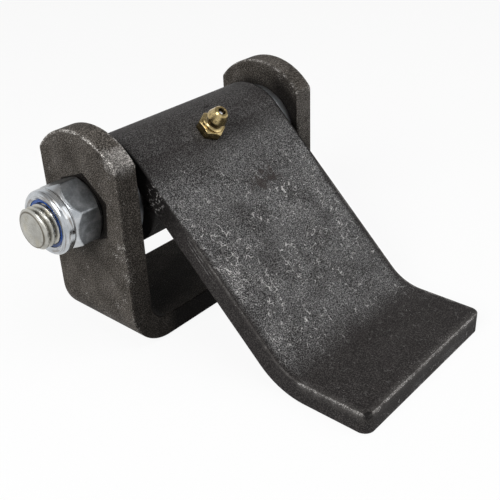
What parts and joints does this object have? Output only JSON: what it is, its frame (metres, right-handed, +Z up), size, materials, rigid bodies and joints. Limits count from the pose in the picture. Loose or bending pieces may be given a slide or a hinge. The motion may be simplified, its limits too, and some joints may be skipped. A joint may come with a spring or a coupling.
{
  "type": "dump trailer hinge",
  "caption": "Weld-on hinge for a tipping trailer body: a bent strap with a greased rolled eye swings on a bolt held between the arched ears of a folded bracket.",
  "frame": {"origin": "centre of the bracket's flat underside, in the mounting plane", "axes": "+X along the pivot bolt from nut to head, -Y towards the strap's foot, +Z up from the mounting plane"},
  "size_m": [0.115, 0.1103, 0.0697],
  "materials": {
    "bracket_steel": "raw hot-rolled steel, dull, with worn edges",
    "strap_steel": "raw rolled steel, scuffed and speckled",
    "bush_steel": "turned steel",
    "bolt_zinc": "zinc plated, slightly yellow",
    "nut_zinc": "bright blue-white zinc plating",
    "washer_zinc": "zinc plated, satin",
    "nylon": "moulded, slightly glossy",
    "brass": "turned, bright",
    "ball_steel": "polished",
    "spring_steel": "drawn wire"
  },
  "bodies": {
    "frame_bracket": {"bracket": "bracket_steel", "pivot_bolt": "bolt_zinc", "lock_nut": "nut_zinc", "nut_insert": "nylon", "nut_side_washer": "washer_zinc", "head_side_washer": "washer_zinc"},
    "swing_strap": {"hinge_strap": "strap_steel", "eye_bush": "bush_steel", "fitting_body": "brass", "fitting_spring": "spring_steel"},
    "check_ball": {"fitting_ball": "ball_steel"}
  },
  "joints": [
    {"name": "strap_hinge", "type": "hinge", "parent": "frame_bracket", "child": "swing_strap", "pos_m": [0, 0, 0.0461], "axis": [-1, 0, 0], "range_deg": [0, 228]},
    {"name": "ball_press", "type": "slide", "parent": "swing_strap", "child": "check_ball", "axis": [0, 0.6561, -0.7547], "range_m": [0, 0.0008], "stiffness_N_per_m": 300, "springref_m": -0.002, "deforming": ["fitting_spring"]}
  ]
}
